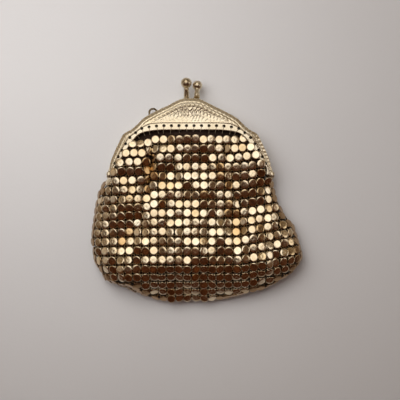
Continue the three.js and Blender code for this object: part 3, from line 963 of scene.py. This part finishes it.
def tone_with_painted_shade(place, normal):
    """From 0 to 1, low for dark. Low tones are painted shade: on the fold, on the back sheet under the
    purse, and beside the pleats and in one hollow.
    """
    # Painted shade: a disc on the fold gets the darkest tone.
    if abs(normal[2]) < STEEP:
        return 0.0
    # Painted shade: the back sheet, under the purse, stays dark amber.
    if normal[2] < 0:
        return rng.uniform(0.03, 0.12)
    x, y, _ = place
    right = -4.6 < right_of(RIGHT_PLEAT, x, y) < -0.9 and -24 < y < 6
    left = abs(right_of(LEFT_PLEAT, x, y)) < 1.9 and -12 < y < 6
    corner = math.hypot(x + 27.6, y + 24.5) < 3.6
    # Painted shade: most discs beside the pleats and in the hollow get an amber tone.
    in_pleat_shade = (right or left or corner) and rng.uniform() < SHADED_BESIDE_PLEAT
    return rng.uniform(0.03, 0.05) if in_pleat_shade else rng.uniform(0.04, 1)


print("where the cloth is crushed a disc leans", 1 + CRUSHED_LEAN, "times the usual")

# %% [markdown]
# A sheet is the one disc copied to every place and turned to face as the surface does there. Under
# each corner where four discs meet lies a ring. On a real mesh the ring holds the prongs. Here
# nothing needs holding, but the rings show in the gaps, so they are laid as well, in a dark brown
# that is painted shade between the discs.

# %% Sheets of discs and of rings
SCATTER = 0.07  # how far a disc strays from its place
RING_RADIUS, RING_WIRE = 0.62, 0.13
RING_SIDES, WIRE_SIDES = 12, 6
RING_DEPTH = 0.36  # from the discs' middles
RING_REACH = 3.3  # four discs further apart than this share no ring


def seats(places, level, way):
    """Each disc's place, the way it faces (up for 1, down for -1), and up along the bag."""
    return [(place, way * facing(level, place), (0, 1, 0)) for place in places.values()]


def disc_sheet(name, seated, lean, material):
    template, faces = disc_template()
    corners, all_faces, tones = [], [], []
    for place, normal, up in seated:
        axes = turned_to(normal, lean_of(place, lean), up)
        all_faces += [tuple(i + len(tones) for i in face) for face in faces]
        corners.append(template @ axes.T + place + [*rng.normal(0, SCATTER, 2), 0])
        tones += [tone_with_painted_shade(place, normal)] * len(template)
    piece = make_mesh(name, np.vstack(corners), all_faces, material)
    tone = piece.data.attributes.new("tone", "FLOAT", "POINT")
    tone.data.foreach_set("value", tones)
    print(name, len(all_faces), "faces")
    return piece


def ring_sheet(name, places, level, face_down, material):
    """A ring under each corner where four discs meet."""
    n = WIRE_SIDES
    ring, faces = [], []
    for b, big in enumerate(np.linspace(0, 2 * np.pi, RING_SIDES, endpoint=False)):
        for s, small in enumerate(np.linspace(0, 2 * np.pi, WIRE_SIDES, endpoint=False)):
            reach = RING_RADIUS + RING_WIRE * math.cos(small)
            ring.append((reach * math.cos(big), reach * math.sin(big), RING_WIRE * math.sin(small)))
            after = (b + 1) % RING_SIDES
            faces.append((n * b + s, n * after + s, n * after + (s + 1) % n, n * b + (s + 1) % n))
    ring = np.array(ring)
    corners, all_faces = [], []
    for row, column in places:
        four = [(row, column), (row, column + 1), (row + 1, column), (row + 1, column + 1)]
        if not all(key in places for key in four):
            continue
        middle = np.mean([places[key] for key in four], axis=0)
        if max(np.linalg.norm(places[key] - middle) for key in four) > RING_REACH:
            continue
        axes = turned_to(facing(level, middle), rng.normal(0, 0.08, 2))
        middle = middle + axes[:, 2] * (RING_DEPTH if face_down else -RING_DEPTH)
        all_faces += [tuple(i + len(corners) * len(ring) for i in face) for face in faces]
        corners.append(ring @ axes.T + middle)
    piece = make_mesh(name, np.vstack(corners), all_faces, material)
    print(name, len(corners), "rings")
    return piece


print("rings of", 2 * (RING_RADIUS + RING_WIRE), "mm under discs of", 2 * DISC_RADIUS, "mm")

# %% [markdown]
# The gold of the discs is a thin wash over brass. The low end of the ramp turns a disc amber and
# then dark brown, which is painted shade, and the rings between the discs are painted dark as shade
# in the gaps. A finish for each shade would need sorting the discs. One finish with a ramp over the
# number stored on each disc gives every shade between.

# %% Gold discs and dark rings
def disc_gold():
    material, shader, tree = principled("disc_gold", Metallic=1.0)
    tone = add_node(tree, "Attribute", attribute_name="tone")
    # The dark brown and amber stops at the low end are painted shade. The pale end is the gold.
    plate = colour_ramp(tree, tone.outputs["Fac"], [
        (0.0, (0.40, 0.27, 0.15)), (0.03, (0.68, 0.45, 0.22)), (0.05, (0.76, 0.58, 0.34)),
        (0.15, (0.81, 0.67, 0.46)), (1.0, (0.90, 0.80, 0.62)),
    ])
    rubs = [(0.38, (0.70, 0.56, 0.38)), (0.6, (1.0, 1.0, 1.0))]
    rub = colour_ramp(tree, mottled(tree, 420, 5), rubs)
    blend = add_node(tree, "Mix", data_type="RGBA", blend_type="MULTIPLY")
    blend.inputs["Factor"].default_value = 0.35
    tree.links.new(plate, blend.inputs["A"])
    tree.links.new(rub, blend.inputs["B"])
    tree.links.new(blend.outputs["Result"], shader.inputs["Base Color"])
    roughness_between(tree, shader, mottled(tree, 600, 5), 0.06, 0.34)
    bump_from(tree, shader, mottled(tree, 1500, 3), 0.00004, 0.5)
    return material


def ring_metal_in_painted_shade():
    material, shader, tree = principled("ring_in_painted_shade", Metallic=1.0)
    # The dark browns are painted shade in the gaps between the discs.
    tint = colour_ramp(tree, mottled(tree, 500), [(0.35, (0.18, 0.11, 0.05)), (0.65, (0.42, 0.29, 0.14))])
    tree.links.new(tint, shader.inputs["Base Color"])
    roughness_between(tree, shader, mottled(tree, 1200), 0.3, 0.5)
    return material


FRONT_LEAN, BACK_LEAN = 0.085, 0.02  # radians, the usual lean of a disc
gold = disc_gold()
shaded_ring_brass = ring_metal_in_painted_shade()
front_seats = seats(front_places, front_level, 1)
back_seats = seats(back_places, back_level, -1) + fold_row()
front_discs = disc_sheet("front_discs", front_seats, FRONT_LEAN, gold)
back_discs = disc_sheet("back_discs", back_seats, BACK_LEAN, gold)
front_rings = ring_sheet("front_rings", front_places, front_level, False, shaded_ring_brass)
back_rings = ring_sheet("back_rings", back_places, back_level, True, shaded_ring_brass)


# %% [markdown]
# ## The lining
#
# A bag of thin brown cloth hangs inside the mesh and is sewn in with it. It shows as the dark
# between the discs, and as a band under the frame's edge. A dark core would do for one view, but
# the open purse shows the cloth itself. So it is a sheet on the same formula as the discs, a little
# inside them, with its thickness added last. It isn't clear of the metal everywhere: prongs reach
# through it in places, and so do the upright discs at the bottom fold. Only a few tips near the
# mouth can be seen.

# %% Front and back of the lining
def cloth_weave():
    material, shader, tree = principled("lining_cloth", Sheen_Weight=0.12, Sheen_Roughness=0.5,
                                        Specular_IOR_Level=0.2)
    where = add_node(tree, "TexCoord")
    threads = []
    for axis in ("X", "Y"):
        wave = add_node(tree, "TexWave", Scale=520, Distortion=0.6, bands_direction=axis)
        tree.links.new(where.outputs["Object"], wave.inputs["Vector"])
        threads.append(wave.outputs["Fac"])
    weave = add_node(tree, "Math", operation="MULTIPLY")
    for socket, thread in zip(weave.inputs, threads):
        tree.links.new(thread, socket)
    browns = [(0.1, (0.013, 0.006, 0.003)), (0.8, (0.042, 0.022, 0.013))]
    tint = colour_ramp(tree, weave.outputs["Value"], browns)
    tree.links.new(tint, shader.inputs["Base Color"])
    roughness_between(tree, shader, mottled(tree, 300), 0.75, 0.95)
    bump_from(tree, shader, weave.outputs["Value"], 0.00008, 0.8)
    return material


GRID = 70  # points each way
LINING_TOP, LINING_END = 19.6, -50.4
LINING_THICKNESS = 0.3
EAR_ROOM = 30.1  # the cloth stays this near the middle where the ears turn
NO_LIMIT = 100


def lining_sheet(name, level, inset, offset, material):
    """A grid from under the frame to the bottom fold, which is given its thickness afterwards."""
    rows, columns = np.linspace(LINING_TOP, LINING_END, GRID), np.linspace(-1, 1, GRID)
    corners = []
    for y in rows:
        room = inset - 3 * ease(y, 2.5, 7)  # wider along the arms, where the frame hides its edge
        ears = EAR_ROOM + (NO_LIMIT if y > 3 else 2.5 * max(0, -2.6 - y))  # and clear of the ears
        left, right = max(left_at(y) + room, -ears), min(right_at(y) - room, ears)
        x = (left + right) / 2 + (right - left) / 2 * np.sin(columns * np.pi / 2) * 0.998
        z = level(x, y, inset, offset) + 0.10 * np.sin(x * 1.1 + 0.2 * y) * (y > 9)
        corners += np.column_stack([x, np.full(GRID, y), z]).tolist()
    starts = [GRID * r + c for r in range(GRID - 1) for c in range(GRID - 1)]
    faces = [(a, a + 1, a + GRID + 1, a + GRID) for a in starts]
    piece = make_mesh(name, corners, faces, material)
    thick = piece.modifiers.new("thickness", "SOLIDIFY")
    thick.thickness = LINING_THICKNESS * MM
    thick.offset = 0
    bpy.context.view_layer.objects.active = piece
    bpy.ops.object.modifier_apply(modifier=thick.name)
    print(name, len(piece.data.polygons), "faces")
    return piece


LINING_INSET = 1.5  # from the outline
UNDER_FRONT, OVER_BACK = 1.4, 1.0  # from the discs' middles
cloth = cloth_weave()
front_lining = lining_sheet("front_lining", front_level, LINING_INSET, UNDER_FRONT, cloth)
back_lining = lining_sheet("back_lining", back_level, LINING_INSET, OVER_BACK, cloth)
for piece, hung_in in ((front_lining, front_frame), (back_lining, back_frame)):
    hung_area = sum(f.area for f in piece.data.polygons) / 2  # one side of the cloth
    print(piece.name, "has", round(hung_area * 1e4, 1), "cm2 as it hangs")


# %% [markdown]
# ## The stitching
#
# One thread fastens mesh and lining to each half: up through a hole, over the plain band and down
# again at the edge, as in whip stitching. A curve object with a bevel would give the same look, but
# a tube built from rings is a plain mesh at once, and needs no converting. Each stitch is one short
# tube along a smooth curve, with a slant of its own.

# %% Thread through every hole
THREAD_RADIUS = 0.11
THREAD_SIDES = 8


def tube(points, radius, sides):
    """Corners and faces of a round tube along a list of points."""
    points = np.asarray(points, float)
    along = np.gradient(points, axis=0)
    turn = np.linspace(0, 2 * np.pi, sides, endpoint=False)
    up = np.cross(along[0], [0.3, 0.5, 0.81])
    rings = []
    for point, way in zip(points, along):
        way = way / np.linalg.norm(way)
        up = up - way * np.dot(up, way)
        up /= np.linalg.norm(up)
        side = np.cross(way, up)
        rings.append(point + radius * (np.cos(turn)[:, None] * up + np.sin(turn)[:, None] * side))
    rings = np.array(rings)
    return rings.reshape(-1, 3), join_rings(rings)


def stitch_line(spot, out, reach, face, inward):
    """The way of one stitch, from inside the hole to the mesh behind the edge."""
    lean = np.array([-out[1], out[0]]) * rng.uniform(-0.5, 0.2)
    steps = [(spot + 0.15 * out, 1.0), (spot + 0.28 * out, 0.25), (spot + 0.5 * out, -0.16),
             (spot + (0.75 * reach) * out + 0.6 * lean, -0.17), (spot + (reach + 0.18) * out + lean, 0.05),
             (spot + (reach + 0.45) * out + lean, 0.9), (spot + (reach + 1.1) * out + 1.3 * lean, 1.35)]
    return smooth_curve([(*place, face + inward * depth) for place, depth in steps], 4)


def thread_fibre():
    material, shader, tree = principled("sewing_thread", Sheen_Weight=0.3, Specular_IOR_Level=0.3)
    browns = [(0.3, (0.20, 0.15, 0.09)), (0.7, (0.42, 0.33, 0.21))]
    tint = colour_ramp(tree, mottled(tree, 900, 3), browns)
    tree.links.new(tint, shader.inputs["Base Color"])
    roughness_between(tree, shader, mottled(tree, 700), 0.6, 0.85)
    bump_from(tree, shader, mottled(tree, 5000, 2), 0.00004, 0.6)
    return material


def stitches(name, face, inward, material):
    corners, faces = [], []
    for spot, out, reach in HOLES:
        line = stitch_line(spot, out, reach, face, inward)
        points, sides = tube(line, THREAD_RADIUS, THREAD_SIDES)
        faces += [tuple(k + len(corners) for k in f) for f in sides]
        corners += points.tolist()
    piece = make_mesh(name, corners, faces, material)
    recalculate(piece)
    print(name, len(HOLES), "stitches")
    return piece


fibre = thread_fibre()
front_stitches = stitches("front_stitches", FRONT_FACE, -1, fibre)
back_stitches = stitches("back_stitches", BACK_FACE, 1, fibre)


# %% [markdown]
# ## The clasp, the rivets and the chain loop
#
# The clasp is two brass knobs that pass each other with a snap. Each is turned on a lathe: a foot
# with a bead, a stem that narrows, a collar, and a ball. Stacked cylinders would show hard steps. A
# turned piece is a profile swung round its axis, so one helper makes them all, between places that
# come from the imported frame.

# %% Turned pieces
def middle_of(node):
    low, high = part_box(node)
    return np.array((low + high) / 2) / MM - ORIGIN


def radius_of(node):
    low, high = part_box(node)
    return min(high - low) / 2 / MM


def turned(name, start, end, profile, sides, material):
    """A lathe piece. The profile gives share of the way and radius in millimetres."""
    start, end = np.asarray(start, float), np.asarray(end, float)
    axis = end - start
    way = axis / np.linalg.norm(axis)
    side = np.cross(way, [0, 0, 1] if abs(way[2]) < 0.9 else [0, 1, 0])
    side /= np.linalg.norm(side)
    other = np.cross(way, side)
    turn = np.linspace(0, 2 * np.pi, sides, endpoint=False)
    around = np.cos(turn)[:, None] * side + np.sin(turn)[:, None] * other
    rings = np.array([start + axis * share + around * radius for share, radius in profile])
    piece = make_mesh(name, rings.reshape(-1, 3), join_rings(rings), material)
    recalculate(piece)
    piece.data.shade_smooth()
    bpy.context.view_layer.objects.active = piece
    bpy.ops.object.shade_auto_smooth(angle=math.radians(45))
    return piece


SEAM = 0.018  # of the ball's radius
BALL_SIDES, STEM_SIDES = 48, 40
FOOT = [(0, 1.0), (0.08, 1.22), (0.45, 1.25), (0.62, 1.12), (0.78, 1.0), (1, 0.9)]
STEM = [(0, 1.0), (0.08, 1.16), (0.18, 1.13), (0.3, 1.1), (0.6, 1.02), (0.8, 0.98), (0.86, 1.02),
        (0.9, 1.08), (0.94, 1.0), (1, 0.9)]
SUNK = 0.35  # how far the stem goes into the ball


def ball_profile(radius):
    """Shares and radii of a ball, with a low seam round its middle where the two cups meet."""
    turn = np.linspace(0.06, math.pi - 0.06, 40)
    seam = [SEAM * math.exp(-((t - 1.57) / 0.07) ** 2) for t in turn]
    return [(0.5 - 0.5 * math.cos(t), radius * (math.sin(t) + s)) for t, s in zip(turn, seam)]


def clasp_side(which, material):
    ball, foot = middle_of(f"clasp_ball_{which}"), middle_of(f"clasp_foot_{which}")
    radius = radius_of(f"clasp_ball_{which}")
    way = (ball - foot) / np.linalg.norm(ball - foot)
    knob = turned(f"clasp_{which}_knob", ball - way * radius, ball + way * radius,
                  ball_profile(radius), BALL_SIDES, material)
    low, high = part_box(f"clasp_foot_{which}")
    half = 0.5 * (high.y - low.y) / MM
    base = turned(f"clasp_{which}_foot", foot - way * half, foot + way * half,
                  FOOT, STEM_SIDES, material)
    reach = np.linalg.norm(ball - foot) - radius
    stem = turned(f"clasp_{which}_stem", foot + way * 0.3, foot + way * (reach + SUNK),
                  STEM, STEM_SIDES, material)
    print(which, "knob is", round(2 * radius, 2), "mm,", round(reach + radius, 2), "mm from its foot")
    return knob, base, stem


knob_brass = brass_finish("handled_brass", (0.50, 0.40, 0.26), (0.82, 0.73, 0.56))
back_clasp = clasp_side("back", knob_brass)
front_clasp = clasp_side("front", knob_brass)

# %% [markdown]
# A rivet with two domed heads holds each pair of ears, and the purse turns on these two. It is one
# more turned piece. The loop is a bent wire soldered to the shoulder. A torus would be a full ring,
# so it is a tube along an arc, a little more than half round, in brass painted nearly black as shade.

# %% Rivets and the loop that a chain hooks into
RIVET_DOME = [(0.0, 0.12), (0.015, 0.5), (0.05, 0.86), (0.10, 0.97), (0.155, 1.0)]
RIVET_SHAFT = [(0.157, 0.5), (0.843, 0.5)]  # shares of the length and of the head
LOOP_WIRE = 0.4
LOOP_RADIUS = 1.6
LOOP_LEAN = 0.43  # radians, as the shoulder slants


def loop_finish_painted_dark():
    material, shader, tree = principled("worn_brass", Metallic=1.0)
    # The near-black browns are painted shade on the round wire.
    browns = [(0.35, (0.05, 0.035, 0.022)), (0.65, (0.26, 0.20, 0.12))]
    tint = colour_ramp(tree, mottled(tree, 420, 5), browns)
    tree.links.new(tint, shader.inputs["Base Color"])
    roughness_between(tree, shader, mottled(tree, 900), 0.28, 0.5)
    bump_from(tree, shader, mottled(tree, 1800), 0.00005, 0.6)
    return material


def rivet(side, material):
    low, high = (np.array(c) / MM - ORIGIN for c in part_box(f"hinge_rivet_{side}"))
    axis = (low + high) / 2
    head = min(high[1] - low[1], high[2] - low[2]) / 2
    start, end = np.array([low[0], axis[1], axis[2]]), np.array([high[0], axis[1], axis[2]])
    far_dome = [(1 - share, r) for share, r in reversed(RIVET_DOME)]
    profile = [(share, r * head) for share, r in (*RIVET_DOME, *RIVET_SHAFT, *far_dome)]
    print(side, "rivet has heads of", round(2 * head, 2), "mm")
    return turned(f"rivet_{side}", start, end, profile, STEM_SIDES, material)


def hanging_loop(material):
    """A bent wire that stands out of the back half's shoulder."""
    low, high = (np.array(c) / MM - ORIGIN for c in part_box("chain_loop"))
    centre = (low + high) / 2
    turn = np.linspace(-0.25, math.pi + 0.25, 30)  # a little more than half round
    arc = np.column_stack([LOOP_RADIUS * np.cos(turn), LOOP_RADIUS * np.sin(turn)])
    cos, sin = math.cos(LOOP_LEAN), math.sin(LOOP_LEAN)
    arc = arc @ np.array([[cos, sin], [-sin, cos]])
    arc -= (arc.min(axis=0) + arc.max(axis=0)) / 2
    points = np.column_stack([centre[0] + arc[:, 0], centre[1] + arc[:, 1],
                              np.full(len(turn), centre[2])])
    corners, faces = tube(points, LOOP_WIRE, 14)
    piece = make_mesh("hanging_loop", corners, faces, material)
    recalculate(piece)
    print("chain loop of", 2 * LOOP_WIRE, "mm wire,", 2 * LOOP_RADIUS, "mm across")
    return piece


shaded_loop_brass = loop_finish_painted_dark()
rivets = [rivet(side, knob_brass) for side in ("left", "right")]
loop = hanging_loop(shaded_loop_brass)

# %% [markdown]
# ## Tying pieces to the bodies
#
# Each stiff piece is tied to the body that carries it, and stands in for the plain solid of the
# same place. It could be parented by hand, but one table of pieces and solids is enough. Stiff
# pieces simply ride.

# %% Stiff pieces ride on one body
STIFF = {
    "root": {
        "back_frame": back_frame, "mesh_back": back_discs, "lining_back": back_lining,
        "stitching_back": back_stitches, "hinge_rivet_left": rivets[0],
        "hinge_rivet_right": rivets[1], "chain_loop": loop,
        **{f"clasp_{part}_back": piece for piece, part in zip(back_clasp, ("ball", "foot", "stem"))},
    },
    "front_half": {
        "front_frame": front_frame, "stitching_front": front_stitches,
        **{f"clasp_{part}_front": piece for piece, part in zip(front_clasp, ("ball", "foot", "stem"))},
    },
}
for body, stiff in STIFF.items():
    for node, piece in stiff.items():
        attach(piece, body)
        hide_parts(node)
    print(body, "carries", len(stiff), "stiff pieces")
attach(back_rings, "root")

# %% [markdown]
# The front sheet, its rings and its lining are held by the table below and by the front half above.
# Here each one has its place baked into its mesh and is tied to no body, and the plain solids that
# the sheet and the lining stand in for are hidden.

# %% Soft pieces are baked in place
for piece, solid in ((front_discs, "mesh_front"), (front_rings, None), (front_lining, "lining_front")):
    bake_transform(piece)
    if solid:
        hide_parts(solid + "_lower", solid + "_upper")

# %% [markdown]
# A model should be measured before it is called finished. The frame's box was taken at the start,
# before any piece was added, and the box of the finished purse is set beside it.

# %% Measure, and finish
seen_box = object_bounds()
for name, box in (("frame", cad_box), ("finished", seen_box)):
    print(name, "is", " x ".join(f"{(b - a) / MM:.1f}" for a, b in zip(*box)), "mm")
